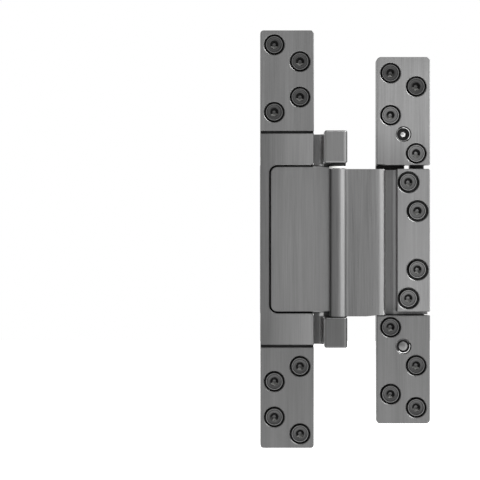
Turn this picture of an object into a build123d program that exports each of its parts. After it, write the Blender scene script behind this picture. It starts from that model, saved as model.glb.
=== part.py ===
from build123d import *
import os

# Concealed door hinge, drawn open flat as it is fitted, seen from the -Y side.
# All sizes are millimetres. The origin is the middle of the frame body's back face,
# which sits on the floor of the mortise. +X runs from the frame leaf to the door leaf,
# +Y into the wood and +Z up.

# Leaves
LEAF_WIDTH = 30.0
PLATE_THICKNESS = 8.0
LEAF_GAP = 5.0
KNUCKLE_REACH = 13.4
DOOR_REACH = 36.7
DOOR_DROP = 0.6
EDGE_BREAK = 0.4
CUT_MARGIN = 1.0

# Frame body
FRAME_DEPTH = 20.0
BODY_HALF_HEIGHT = 59.3
BAR_HEIGHT = 17.7
SPINE_WIDTH = 5.0
RECESS_CORNER = 4.5
RECESS_MOUTH_CORNER = 1.8
CORE_CORNER = 5.0
LAP_LENGTH = 13.0
LAP_THICKNESS = 4.0
LAP_CLEARANCE = 0.2

# Frame end plates and shims
FRAME_PLATE_LENGTH = 56.35
SHIM_THICKNESS = 1.35
OUTER_CORNER = 1.8

# Knuckle leaf
PANEL_GAP = 0.55
PANEL_SET_BACK = 2.2
PANEL_THICKNESS = 7.0
PANEL_TO_AXIS = 3.6
PANEL_EDGE_ROUND = 0.8
WEB_THICKNESS = 3.8
WEB_END_INSET = 0.3
NECK_GAP = 0.3
NECK_ROOT_RADIUS = 3.5
EAR_END_PROUD = 1.15
UPPER_EAR_HEIGHT = 18.05
LOWER_EAR_HEIGHT = 16.95
EAR_LEFT = 7.9
EAR_RIGHT = 4.9
EAR_HALF_DEPTH = 6.0
EAR_FRAME_CORNER = 1.4
EAR_DOOR_CORNER = 2.4
EAR_EDGE_ROUND = 1.0

# Pin, washers and bushes
PIN_RADIUS = 3.0
PIN_END_INSET = 0.6
FIT_CLEARANCE = 0.02
RUNNING_CLEARANCE = 0.05
BUSH_WALL = 0.5
BUSH_LENGTH = 14.0
WASHER_CLEARANCE = 0.12
SPACER_THICKNESS = 1.7
SPACER_RADIUS = 4.3
SLIDE_WASHER_THICKNESS = 1.1
LOWER_WASHER_THICKNESS = 0.4
BARREL_PLAY = 0.5
SEAT_CLEARANCE = 0.04

# Arm
BARREL_RADIUS = 5.0
ARM_THICKNESS = 5.0
ARM_CLEARANCE = 0.4
ARM_WALL_INSET = 4.8
ARM_STEP_LENGTH = 6.0
ARM_BEND_RADIUS = 4.5
ARM_INNER_RADIUS = 2.0
ARM_ROOT_RADIUS = 1.2
ARM_HEEL_RADIUS = 3.0
FLANGE_THICKNESS = 5.9
FLANGE_END_GAP = 0.6
SLIDE_CLEARANCE = 0.05

# Door leaf
DOOR_BODY_INSET = 17.1
DOOR_PLATE_LENGTH = 60.5
DOOR_OUTER_CORNER = 2.5
BLOCK_LEFT_INSET = 11.5
BLOCK_END_GAP = 2.15
BLOCK_EDGE_ROUND = 0.6
BASE_LEFT_INSET = 1.0
BASE_RIGHT_INSET = 2.0
TONGUE_LENGTH = 34.0
BASE_CORNER = 4.0
NOTCH_WIDTH = 3.1
NOTCH_DEPTH = 8.0
NOTCH_OFFSET = 3.45
TRAVEL_UP = 0.3
TRAVEL_MARGIN = 0.1
TRAVEL_DOWN = 2.1

# Low-head M6 screws of plates and block, a fixing screw's thread at its pitch radius
M6_RADIUS = 3.0
M6_HEAD_RADIUS = 5.0
M6_HEAD_HEIGHT = 4.0
M6_SOCKET = 4.0
M6_SOCKET_DEPTH = 2.2
HEAD_INSET = 0.25
THREAD_RADIUS = 2.675
HEAD_CLEARANCE = 0.75
BLOCK_HEAD_CLEARANCE = 1.1
SHANK_CLEARANCE = 0.3
FIXING_PROJECTION = 25.0
TIP_INSET = 1.0

# Other screws
CLAMP_RADIUS = 2.5
CLAMP_HEAD_RADIUS = 4.25
CLAMP_HEAD_HEIGHT = 5.0
CLAMP_SOCKET = 4.0
CLAMP_ENGAGEMENT = 5.0
CLAMP_X = (-3.5, 9.0)
CLAMP_HALF_SPACING = 24.0
LAP_SCREW_RADIUS = 2.0
LAP_SCREW_HEAD_RADIUS = 3.8
LAP_SCREW_X = 7.5
LAP_SCREW_ENGAGEMENT = 3.0
ADJUSTER_RADIUS = 4.0
ADJUSTER_SOCKET = 4.0
ADJUSTER_INSET = 1.0
LOCK_RADIUS = 2.0
LOCK_SOCKET = 2.0
LOCK_INSET = 0.3
SOCKET_DEPTH_RATIO = 0.6

# Screw places: distances from the leaf's centre line and from an end plate's outer end,
# or its inner end over the tongue, and for the block from its right side and its ends
COLUMN_OFFSET = 7.2
FRAME_SCREWS = ((-COLUMN_OFFSET, 8.0), (COLUMN_OFFSET, 17.4), (COLUMN_OFFSET, 37.3), (-COLUMN_OFFSET, 45.8))
DOOR_FIXING_SCREWS = ((-COLUMN_OFFSET, 9.0), (COLUMN_OFFSET, 16.5))
DOOR_TONGUE_SCREWS = ((-COLUMN_OFFSET, 27.9), (COLUMN_OFFSET, 6.5))
ADJUSTER_FROM_INNER_END = 17.2
BLOCK_SCREW_PLACES = ((12.2, 7.5), (7.1, 23.6))

# Planes worked out from the sizes above
FRONT_Y = -FRAME_DEPTH
PLATE_BACK_Y = FRONT_Y + PLATE_THICKNESS
LAP_FRONT_Y = PLATE_BACK_Y - LAP_THICKNESS
PANEL_FRONT_Y = FRONT_Y + PANEL_SET_BACK
FLOOR_Y = PANEL_FRONT_Y + PANEL_THICKNESS
WEB_FRONT_Y = FLOOR_Y - WEB_THICKNESS
AXIS_X = LEAF_WIDTH / 2 + KNUCKLE_REACH
AXIS_Y = FRONT_Y - LEAF_GAP / 2
EAR_BACK_Y = AXIS_Y + EAR_HALF_DEPTH
ARM_FRONT_Y = AXIS_Y - LEAF_GAP / 2 + ARM_CLEARANCE
ARM_BACK_Y = ARM_FRONT_Y + ARM_THICKNESS
FLANGE_FRONT_Y = PLATE_BACK_Y + SLIDE_CLEARANCE
FLANGE_BACK_Y = FLANGE_FRONT_Y + FLANGE_THICKNESS
BASE_FRONT_Y = FLANGE_BACK_Y + SLIDE_CLEARANCE
BASE_BACK_Y = 0.0

RECESS_LEFT_X = -LEAF_WIDTH / 2 + SPINE_WIDTH
RECESS_HALF_HEIGHT = BODY_HALF_HEIGHT - BAR_HEIGHT
PANEL_HALF_HEIGHT = RECESS_HALF_HEIGHT - PANEL_GAP
CORE_HALF_HEIGHT = BODY_HALF_HEIGHT - LAP_LENGTH - LAP_CLEARANCE
PANEL_RIGHT_X = AXIS_X - PANEL_TO_AXIS
WEB_LEFT_X = LEAF_WIDTH / 2 + NECK_GAP
WEB_HALF_HEIGHT = BODY_HALF_HEIGHT - WEB_END_INSET
EAR_LEFT_X = AXIS_X - EAR_LEFT
EAR_OUTER_Z = BODY_HALF_HEIGHT + EAR_END_PROUD
UPPER_EAR_Z = EAR_OUTER_Z - UPPER_EAR_HEIGHT
LOWER_EAR_Z = EAR_OUTER_Z - LOWER_EAR_HEIGHT
FRAME_PLATE_INNER_Z = BODY_HALF_HEIGHT + SHIM_THICKNESS
FRAME_PLATE_OUTER_Z = FRAME_PLATE_INNER_Z + FRAME_PLATE_LENGTH

DOOR_X = AXIS_X + DOOR_REACH
DOOR_LEFT_X = DOOR_X - LEAF_WIDTH / 2
DOOR_RIGHT_X = DOOR_X + LEAF_WIDTH / 2
DOOR_INNER_Z = BODY_HALF_HEIGHT - DOOR_BODY_INSET
DOOR_OUTER_Z = DOOR_INNER_Z + DOOR_PLATE_LENGTH
BLOCK_HALF_HEIGHT = DOOR_INNER_Z - BLOCK_END_GAP
BLOCK_LEFT_X = DOOR_LEFT_X + BLOCK_LEFT_INSET
WALL_OUTER_X = DOOR_LEFT_X + ARM_WALL_INSET
WALL_INNER_X = WALL_OUTER_X - ARM_THICKNESS
FLANGE_END_X = DOOR_RIGHT_X - FLANGE_END_GAP
BASE_LEFT_X = DOOR_LEFT_X + BASE_LEFT_INSET
BASE_RIGHT_X = DOOR_RIGHT_X - BASE_RIGHT_INSET
TONGUE_END_Z = DOOR_INNER_Z + TONGUE_LENGTH
BARREL_BOTTOM_Z = -LOWER_EAR_Z + LOWER_WASHER_THICKNESS + 2 * SEAT_CLEARANCE
BARREL_TOP_Z = UPPER_EAR_Z - SPACER_THICKNESS - SLIDE_WASHER_THICKNESS - BARREL_PLAY
FLANGE_BOTTOM_Z = -DOOR_INNER_Z - DOOR_DROP + TRAVEL_UP + TRAVEL_MARGIN
BUSH_RADIUS = PIN_RADIUS + RUNNING_CLEARANCE + BUSH_WALL

HEAD_FRONT_Y = FRONT_Y + HEAD_INSET
HEAD_SEAT_Y = HEAD_FRONT_Y + M6_HEAD_HEIGHT


def slab(outline, front, back):
    """Extrude a front-view outline (X, Z) from y = front to y = back."""
    return Pos(0, back, 0) * extrude(Plane.XZ * outline, amount=back - front)


def prism(outline, bottom, top):
    """Extrude a plan-view outline (X, Y) from z = bottom to z = top."""
    return Pos(0, 0, bottom) * extrude(outline, amount=top - bottom)


def rectangle(left, right, bottom, top):
    """A rectangle by its four sides."""
    return Pos((left + right) / 2, (bottom + top) / 2) * Rectangle(right - left, top - bottom)


def corners(outline, points):
    """The outline's corners that lie nearest to the given points."""
    return [outline.vertices().sort_by_distance((x, y, 0))[0] for x, y in points]


def front_rim(solid):
    """The outer edges of a solid's foremost face."""
    return solid.faces().filter_by(Axis.Y).sort_by(Axis.Y)[0].outer_wire().edges()


def turned_half_round(solid):
    """The same piece turned half round in the leaf's plane, for the lower end."""
    return Rot(0, 180, 0) * solid


def group(solids):
    """Like pieces kept together as one group of separate solids."""
    return Compound(children=list(solids))


def turned(points):
    """A turned shape about the Y axis from (radius, y) points."""
    return revolve(make_face(Polyline(*points, close=True)), Axis.Y)


def socket(across_flats, front, depth):
    """Hexagon recess of a screw."""
    return slab(RegularPolygon(across_flats / 2, 6, major_radius=False), front - CUT_MARGIN, front + depth)


def cap_screw(radius, head_radius, head_height, across_flats, socket_depth, head_front, tip):
    """Hex socket screw on the Y axis, its head at head_front and its end at tip."""
    seat = head_front + head_height
    body = bore(head_radius, head_front, seat) + bore(radius, seat, tip)
    return body - socket(across_flats, head_front, socket_depth)


def low_head_screw(tip):
    """Low-head M6 screw of the front face, on the Y axis."""
    return cap_screw(M6_RADIUS, M6_HEAD_RADIUS, M6_HEAD_HEIGHT, M6_SOCKET, M6_SOCKET_DEPTH, HEAD_FRONT_Y, tip)


def fixing_screw():
    """Low-head screw with a plain shank through the end plate and its thread behind it."""
    return low_head_screw(PLATE_BACK_Y) + bore(THREAD_RADIUS, PLATE_BACK_Y, PLATE_BACK_Y + FIXING_PROJECTION)


def grub_screw(radius, across_flats, front, tip):
    """Headless hex socket screw on the Y axis."""
    return bore(radius, front, tip) - socket(across_flats, front, (tip - front) * SOCKET_DEPTH_RATIO)


def plate_counterbore():
    """Cutter for the screws of all end plates."""
    hole_radius = M6_RADIUS + SHANK_CLEARANCE
    return counterbore(M6_HEAD_RADIUS + HEAD_CLEARANCE, hole_radius, PLATE_BACK_Y + CUT_MARGIN)


def counterbore(head_radius, hole_radius, back):
    """Cutter for a low-head screw from the front face, with a broken edge."""
    return turned(
        (
            (0, FRONT_Y - CUT_MARGIN),
            (head_radius + EDGE_BREAK, FRONT_Y - CUT_MARGIN),
            (head_radius + EDGE_BREAK, FRONT_Y),
            (head_radius, FRONT_Y + EDGE_BREAK),
            (head_radius, HEAD_SEAT_Y),
            (hole_radius, HEAD_SEAT_Y),
            (hole_radius, back),
            (0, back),
        )
    )


def bore(radius, front, back):
    """Plain round bar or cutter along Y."""
    return slab(Circle(radius), front, back)


def at_places(shape, places, drop=0):
    """Copies of a shape at (X, Z) places, lowered by a drop."""
    return [Pos(x, 0, z - drop) * shape for x, z in places]


def half_turn(places, centre_x):
    """Places turned half round about a leaf's centre."""
    return [(2 * centre_x - x, -z) for x, z in places]


def end_places(pattern, centre_x, outer_z):
    """Screw places of an upper end plate, from distances to its outer end."""
    return [(centre_x + x, outer_z - distance) for x, distance in pattern]


def frame_fixing_places():
    """The four screws of the upper frame end plate."""
    return end_places(FRAME_SCREWS, 0, FRAME_PLATE_OUTER_Z)


def door_fixing_places():
    """The two screws that hold the upper door end plate to the door."""
    return end_places(DOOR_FIXING_SCREWS, DOOR_X, DOOR_OUTER_Z)


def door_tongue_places():
    """The two screws that hold the upper door end plate to the base's tongue."""
    return [(DOOR_X + x, DOOR_INNER_Z + distance) for x, distance in DOOR_TONGUE_SCREWS]


def block_places():
    """The four screws through the clamp block."""
    places = [(DOOR_RIGHT_X - x, BLOCK_HALF_HEIGHT - distance) for x, distance in BLOCK_SCREW_PLACES]
    return places + [(x, -z) for x, z in places]


def clamp_places():
    """The four screws from behind into the panel."""
    return [(x, side * CLAMP_HALF_SPACING) for x in CLAMP_X for side in (1, -1)]


def lap_places():
    """The two lap screws of the upper frame end plate."""
    z = BODY_HALF_HEIGHT - LAP_LENGTH / 2
    return [(-LAP_SCREW_X, z), (LAP_SCREW_X, z)]


def body_outline():
    """C-shaped front of the frame body: a spine and two bars round the open recess."""
    half = LEAF_WIDTH / 2
    whole = rectangle(-half, half, -BODY_HALF_HEIGHT, BODY_HALF_HEIGHT)
    recess = rectangle(RECESS_LEFT_X, half + RECESS_CORNER, -RECESS_HALF_HEIGHT, RECESS_HALF_HEIGHT)
    left_corners = [(RECESS_LEFT_X, RECESS_HALF_HEIGHT), (RECESS_LEFT_X, -RECESS_HALF_HEIGHT)]
    outline = whole - fillet(corners(recess, left_corners), RECESS_CORNER)
    mouth = [(half, RECESS_HALF_HEIGHT), (half, -RECESS_HALF_HEIGHT)]
    return fillet(corners(outline, mouth), RECESS_MOUTH_CORNER)


def core_outline():
    """Deep middle of the frame body, round-cornered for a routed mortise."""
    half = LEAF_WIDTH / 2
    outline = rectangle(-half, half, -CORE_HALF_HEIGHT, CORE_HALF_HEIGHT)
    return fillet(outline.vertices(), CORE_CORNER)


def make_frame_body():
    """Body with its recess, a floor behind the panel and half-lapped ends."""
    front = slab(body_outline(), FRONT_Y, LAP_FRONT_Y)
    front = chamfer(front_rim(front), EDGE_BREAK)
    middle = slab(body_outline() & core_outline(), LAP_FRONT_Y, FLOOR_Y)
    floor = slab(core_outline(), FLOOR_Y, BASE_BACK_Y)
    body = front + middle + floor
    head_bore = bore(CLAMP_HEAD_RADIUS + HEAD_CLEARANCE, -CLAMP_HEAD_HEIGHT - HEAD_INSET, CUT_MARGIN)
    shank_bore = bore(CLAMP_RADIUS + SHANK_CLEARANCE, FLOOR_Y - CUT_MARGIN, CUT_MARGIN)
    for cutter in at_places(head_bore + shank_bore, clamp_places()):
        body -= cutter
    lap_thread = bore(LAP_SCREW_RADIUS + FIT_CLEARANCE, LAP_FRONT_Y - LAP_SCREW_ENGAGEMENT, LAP_FRONT_Y)
    for cutter in at_places(lap_thread, lap_places() + half_turn(lap_places(), 0)):
        body -= cutter
    return body


def countersink():
    """Cutter for a countersunk lap screw, open to the back."""
    return turned(
        (
            (0, LAP_FRONT_Y - CUT_MARGIN),
            (LAP_SCREW_RADIUS + FIT_CLEARANCE, LAP_FRONT_Y - CUT_MARGIN),
            (LAP_SCREW_RADIUS + FIT_CLEARANCE, lap_head_y()),
            (LAP_SCREW_HEAD_RADIUS + HEAD_INSET, PLATE_BACK_Y),
            (LAP_SCREW_HEAD_RADIUS + HEAD_INSET, PLATE_BACK_Y + CUT_MARGIN),
            (0, PLATE_BACK_Y + CUT_MARGIN),
        )
    )


def lap_head_y():
    """Where the cone of a lap screw's head starts."""
    return PLATE_BACK_Y - (LAP_SCREW_HEAD_RADIUS - LAP_SCREW_RADIUS)


def make_lap_screw():
    """Countersunk screw from behind, flush with the plate's back."""
    tip = LAP_FRONT_Y - LAP_SCREW_ENGAGEMENT + HEAD_INSET
    back = PLATE_BACK_Y - HEAD_INSET
    body = turned(
        (
            (0, tip),
            (LAP_SCREW_RADIUS, tip),
            (LAP_SCREW_RADIUS, lap_head_y()),
            (LAP_SCREW_HEAD_RADIUS - HEAD_INSET, back),
            (0, back),
        )
    )
    depth = LAP_SCREW_HEAD_RADIUS - LAP_SCREW_RADIUS
    hexagon = RegularPolygon(LAP_SCREW_RADIUS * 2 / 3, 6, major_radius=False)
    return body - slab(hexagon, back - depth, back + CUT_MARGIN)


def make_frame_plate():
    """Upper frame end plate with the lap that reaches behind the body."""
    half = LEAF_WIDTH / 2
    outline = rectangle(-half, half, FRAME_PLATE_INNER_Z, FRAME_PLATE_OUTER_Z)
    outer = [(-half, FRAME_PLATE_OUTER_Z), (half, FRAME_PLATE_OUTER_Z)]
    plate = slab(fillet(corners(outline, outer), OUTER_CORNER), FRONT_Y, PLATE_BACK_Y)
    plate = chamfer(front_rim(plate), EDGE_BREAK)
    lap = rectangle(-half, half, BODY_HALF_HEIGHT - LAP_LENGTH, FRAME_PLATE_INNER_Z)
    plate += slab(lap, LAP_FRONT_Y, PLATE_BACK_Y)
    screw_holes = at_places(plate_counterbore(), frame_fixing_places())
    for hole in screw_holes + at_places(countersink(), lap_places()):
        plate -= hole
    return plate


def make_shim():
    """Black spacer strip in the joint line above the body."""
    half = LEAF_WIDTH / 2 - EDGE_BREAK
    outline = rectangle(-half, half, BODY_HALF_HEIGHT, FRAME_PLATE_INNER_Z)
    return slab(outline, FRONT_Y + EDGE_BREAK, LAP_FRONT_Y)


def ear_solid(inner_z):
    """Ear block with rounded edges, from inner_z up."""
    left, right, front = EAR_LEFT_X, AXIS_X + EAR_RIGHT, AXIS_Y - EAR_HALF_DEPTH
    outline = rectangle(left, right, front, EAR_BACK_Y)
    outline = fillet(corners(outline, [(left, front), (left, EAR_BACK_Y)]), EAR_FRAME_CORNER)
    outline = fillet(corners(outline, [(right, front), (right, EAR_BACK_Y)]), EAR_DOOR_CORNER)
    block = prism(outline, inner_z, EAR_OUTER_Z)
    ends = block.faces().filter_by(Axis.Z).edges()
    return fillet(ends, EAR_EDGE_ROUND)


def neck_outline():
    """Plan of the neck: the flat web and the hollow root that carries the ear."""
    start = (EAR_LEFT_X - NECK_ROOT_RADIUS, WEB_FRONT_Y)
    end = (EAR_LEFT_X, WEB_FRONT_Y - NECK_ROOT_RADIUS)
    hollow = RadiusArc(start, end, NECK_ROOT_RADIUS)
    rest = Polyline(
        end,
        (AXIS_X - PIN_RADIUS, end[1]),
        (AXIS_X - PIN_RADIUS, EAR_BACK_Y - EAR_EDGE_ROUND),
        (AXIS_X, EAR_BACK_Y),
        (PANEL_RIGHT_X, WEB_FRONT_Y),
        (PANEL_RIGHT_X, FLOOR_Y),
        (WEB_LEFT_X, FLOOR_Y),
        (WEB_LEFT_X, WEB_FRONT_Y),
        start,
    )
    return make_face([hollow, rest])


def knuckle(inner_z):
    """Ear and neck of the upper end."""
    return prism(neck_outline(), inner_z, WEB_HALF_HEIGHT) + ear_solid(inner_z)


def web_outline(left):
    """Front of the web, with a root radius where it leaves the panel."""
    strip = rectangle(WEB_LEFT_X, PANEL_RIGHT_X, -WEB_HALF_HEIGHT, WEB_HALF_HEIGHT)
    outline = strip + rectangle(left, PANEL_RIGHT_X, -PANEL_HALF_HEIGHT, PANEL_HALF_HEIGHT)
    roots = [(WEB_LEFT_X, PANEL_HALF_HEIGHT), (WEB_LEFT_X, -PANEL_HALF_HEIGHT)]
    outline = fillet(corners(outline, roots), RECESS_MOUTH_CORNER + NECK_GAP)
    outer = [(left, PANEL_HALF_HEIGHT), (left, -PANEL_HALF_HEIGHT)]
    return fillet(corners(outline, outer), RECESS_CORNER - PANEL_GAP)


def make_knuckle_leaf():
    """Cover panel, web, necks and ears in one piece."""
    left = RECESS_LEFT_X + PANEL_GAP
    outline = rectangle(left, PANEL_RIGHT_X, -PANEL_HALF_HEIGHT, PANEL_HALF_HEIGHT)
    left_corners = [(left, PANEL_HALF_HEIGHT), (left, -PANEL_HALF_HEIGHT)]
    panel = slab(fillet(corners(outline, left_corners), RECESS_CORNER - PANEL_GAP), PANEL_FRONT_Y, FLOOR_Y)
    panel = fillet(front_rim(panel), PANEL_EDGE_ROUND)
    leaf = panel + slab(web_outline(left), WEB_FRONT_Y, FLOOR_Y)
    leaf += knuckle(UPPER_EAR_Z)
    leaf += mirror(knuckle(LOWER_EAR_Z), Plane.XY)
    leaf -= Pos(AXIS_X, AXIS_Y, 0) * Cylinder(PIN_RADIUS + FIT_CLEARANCE, 2 * EAR_OUTER_Z + CUT_MARGIN)
    lock = bore(LOCK_RADIUS + FIT_CLEARANCE, AXIS_Y, EAR_BACK_Y + CUT_MARGIN)
    for cutter in at_places(lock, lock_places()):
        leaf -= cutter
    thread = bore(CLAMP_RADIUS + FIT_CLEARANCE, FLOOR_Y - CLAMP_ENGAGEMENT, FLOOR_Y)
    for cutter in at_places(thread, clamp_places()):
        leaf -= cutter
    return leaf


def lock_places():
    """The two grub screws behind the ears."""
    upper = (UPPER_EAR_Z + EAR_OUTER_Z) / 2
    lower = (LOWER_EAR_Z + EAR_OUTER_Z) / 2
    return [(AXIS_X, upper), (AXIS_X, -lower)]


def make_clamp_screw():
    """Cap screw from behind, through the body's floor into the panel."""
    tip = FLOOR_Y - CLAMP_ENGAGEMENT + HEAD_INSET
    return Rot(0, 0, 180) * cap_screw(
        CLAMP_RADIUS,
        CLAMP_HEAD_RADIUS,
        CLAMP_HEAD_HEIGHT,
        CLAMP_SOCKET,
        CLAMP_HEAD_HEIGHT * SOCKET_DEPTH_RATIO,
        HEAD_INSET,
        -tip,
    )


def make_pin():
    """Hinge pin with broken ends."""
    half = EAR_OUTER_Z - PIN_END_INSET
    pin = Pos(AXIS_X, AXIS_Y, 0) * Cylinder(PIN_RADIUS, 2 * half)
    return chamfer(pin.edges().filter_by(GeomType.CIRCLE), EDGE_BREAK)


def washer(radius, bottom, top):
    """Flat washer round the pin."""
    ring = Circle(radius) - Circle(PIN_RADIUS + WASHER_CLEARANCE)
    return Pos(AXIS_X, AXIS_Y, 0) * prism(ring, bottom, top)


def make_bush(bottom):
    """Plain bush in the barrel."""
    ring = Circle(BUSH_RADIUS) - Circle(PIN_RADIUS + RUNNING_CLEARANCE)
    return Pos(AXIS_X, AXIS_Y, 0) * prism(ring, bottom, bottom + BUSH_LENGTH)


def arm_plan():
    """Plan of the arm: barrel, plate, bend, wall and flange."""
    sheet = make_face(
        Polyline(
            (AXIS_X, ARM_FRONT_Y),
            (WALL_OUTER_X, ARM_FRONT_Y),
            (WALL_OUTER_X, FLANGE_FRONT_Y),
            (FLANGE_END_X, FLANGE_FRONT_Y),
            (FLANGE_END_X, FLANGE_BACK_Y),
            (WALL_INNER_X, FLANGE_BACK_Y),
            (WALL_INNER_X, ARM_BACK_Y),
            (AXIS_X, ARM_BACK_Y),
            close=True,
        )
    )
    rounds = (
        ((WALL_OUTER_X, ARM_FRONT_Y), ARM_BEND_RADIUS),
        ((WALL_OUTER_X, FLANGE_FRONT_Y), ARM_ROOT_RADIUS),
        ((WALL_INNER_X, FLANGE_BACK_Y), ARM_HEEL_RADIUS),
        ((WALL_INNER_X, ARM_BACK_Y), ARM_INNER_RADIUS),
    )
    for place, radius in rounds:
        sheet = fillet(corners(sheet, [place]), radius)
    barrel = Pos(AXIS_X, AXIS_Y) * Circle(BARREL_RADIUS)
    return sheet + barrel - Pos(AXIS_X, AXIS_Y) * Circle(BUSH_RADIUS + FIT_CLEARANCE)


def arm_front_outline():
    """Front outline of the arm, its lower edge rising to clear the lower door plate."""
    left = AXIS_X - BARREL_RADIUS - CUT_MARGIN
    right = FLANGE_END_X + CUT_MARGIN
    return make_face(
        Polyline(
            (left, BARREL_BOTTOM_Z),
            (WALL_INNER_X - ARM_STEP_LENGTH, BARREL_BOTTOM_Z),
            (WALL_INNER_X, FLANGE_BOTTOM_Z),
            (right, FLANGE_BOTTOM_Z),
            (right, BARREL_TOP_Z),
            (left, BARREL_TOP_Z),
            close=True,
        )
    )


def make_arm():
    """Arm cut to length, with slots for the block's screws."""
    arm = prism(arm_plan(), BARREL_BOTTOM_Z, BARREL_TOP_Z)
    arm &= slab(arm_front_outline(), ARM_FRONT_Y - BARREL_RADIUS, FLANGE_BACK_Y + CUT_MARGIN)
    width = 2 * (M6_RADIUS + SHANK_CLEARANCE)
    length = width + TRAVEL_UP + TRAVEL_DOWN
    middle = (TRAVEL_UP - TRAVEL_DOWN) / 2
    slot = Pos(0, middle) * Rot(0, 0, 90) * SlotOverall(length, width)
    cutter = slab(slot, PLATE_BACK_Y - CUT_MARGIN, FLANGE_BACK_Y + CUT_MARGIN)
    for hole in at_places(cutter, block_places(), DOOR_DROP):
        arm -= hole
    return arm


def make_block():
    """Clamp block over the flange, flush with the end plates."""
    outline = rectangle(BLOCK_LEFT_X, DOOR_RIGHT_X, -BLOCK_HALF_HEIGHT, BLOCK_HALF_HEIGHT)
    block = slab(fillet(outline.vertices(), BLOCK_EDGE_ROUND), FRONT_Y, PLATE_BACK_Y)
    block = chamfer(front_rim(block), EDGE_BREAK)
    radius = M6_HEAD_RADIUS + BLOCK_HEAD_CLEARANCE
    cutter = counterbore(radius, M6_RADIUS + SHANK_CLEARANCE, PLATE_BACK_Y + CUT_MARGIN)
    for hole in at_places(cutter, block_places()):
        block -= hole
    return block


def make_base_plate():
    """Hidden plate behind the flange, with raised tongues under the end plates."""
    outline = rectangle(BASE_LEFT_X, BASE_RIGHT_X, -TONGUE_END_Z, TONGUE_END_Z)
    outline = fillet(outline.vertices(), BASE_CORNER)
    tongues = outline - rectangle(BASE_LEFT_X, BASE_RIGHT_X, -DOOR_INNER_Z, DOOR_INNER_Z)
    left = DOOR_X + NOTCH_OFFSET - NOTCH_WIDTH / 2
    notch = rectangle(left, left + NOTCH_WIDTH, DOOR_INNER_Z - NOTCH_DEPTH / 2, DOOR_INNER_Z + NOTCH_DEPTH)
    base = slab(outline, BASE_FRONT_Y, BASE_BACK_Y) + slab(tongues, PLATE_BACK_Y, BASE_FRONT_Y)
    base -= slab(notch, PLATE_BACK_Y - CUT_MARGIN, BASE_BACK_Y + CUT_MARGIN)
    thread = bore(M6_RADIUS + FIT_CLEARANCE, PLATE_BACK_Y - CUT_MARGIN, BASE_BACK_Y + CUT_MARGIN)
    places = door_tongue_places() + half_turn(door_tongue_places(), DOOR_X) + block_places()
    for hole in at_places(thread, places):
        base -= hole
    return base


def make_door_plate():
    """Upper door end plate with its screw holes and the threaded adjuster hole."""
    outline = rectangle(DOOR_LEFT_X, DOOR_RIGHT_X, DOOR_INNER_Z, DOOR_OUTER_Z)
    outline = fillet(corners(outline, [(DOOR_LEFT_X, DOOR_OUTER_Z)]), DOOR_OUTER_CORNER)
    outline = fillet(corners(outline, [(DOOR_RIGHT_X, DOOR_OUTER_Z)]), OUTER_CORNER)
    plate = slab(outline, FRONT_Y, PLATE_BACK_Y)
    plate = chamfer(front_rim(plate), EDGE_BREAK)
    for hole in at_places(plate_counterbore(), door_fixing_places() + door_tongue_places()):
        plate -= hole
    thread = ADJUSTER_RADIUS + FIT_CLEARANCE
    mouth = turned(
        (
            (0, FRONT_Y),
            (thread + ADJUSTER_INSET / 2, FRONT_Y),
            (thread, FRONT_Y + ADJUSTER_INSET / 2),
            (thread, PLATE_BACK_Y + CUT_MARGIN),
            (0, PLATE_BACK_Y + CUT_MARGIN),
        )
    )
    plate -= Pos(DOOR_X, 0, adjuster_z()) * mouth
    return plate


def adjuster_z():
    """Height of the upper adjuster screw."""
    return DOOR_INNER_Z + ADJUSTER_FROM_INNER_END


def make_adjuster():
    """Upper adjuster grub screw, its end on the tongue."""
    grub = grub_screw(ADJUSTER_RADIUS, ADJUSTER_SOCKET, FRONT_Y + ADJUSTER_INSET, PLATE_BACK_Y)
    return Pos(DOOR_X, 0, adjuster_z()) * grub


def about_door(solid):
    """A door piece turned half round about the door leaf's own centre."""
    return Pos(DOOR_X, 0, 0) * turned_half_round(Pos(-DOOR_X, 0, 0) * solid)


def lowered(shape):
    """A door piece at the height it is drawn at, a little below the frame leaf's middle."""
    return Pos(0, 0, -DOOR_DROP) * shape


def make_lock_screw():
    """Grub screw from the ear's back onto the pin."""
    front = AXIS_Y + PIN_RADIUS + FIT_CLEARANCE
    back = EAR_BACK_Y - LOCK_INSET
    return Rot(0, 0, 180) * grub_screw(LOCK_RADIUS, LOCK_SOCKET, -back, -front)


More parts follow.
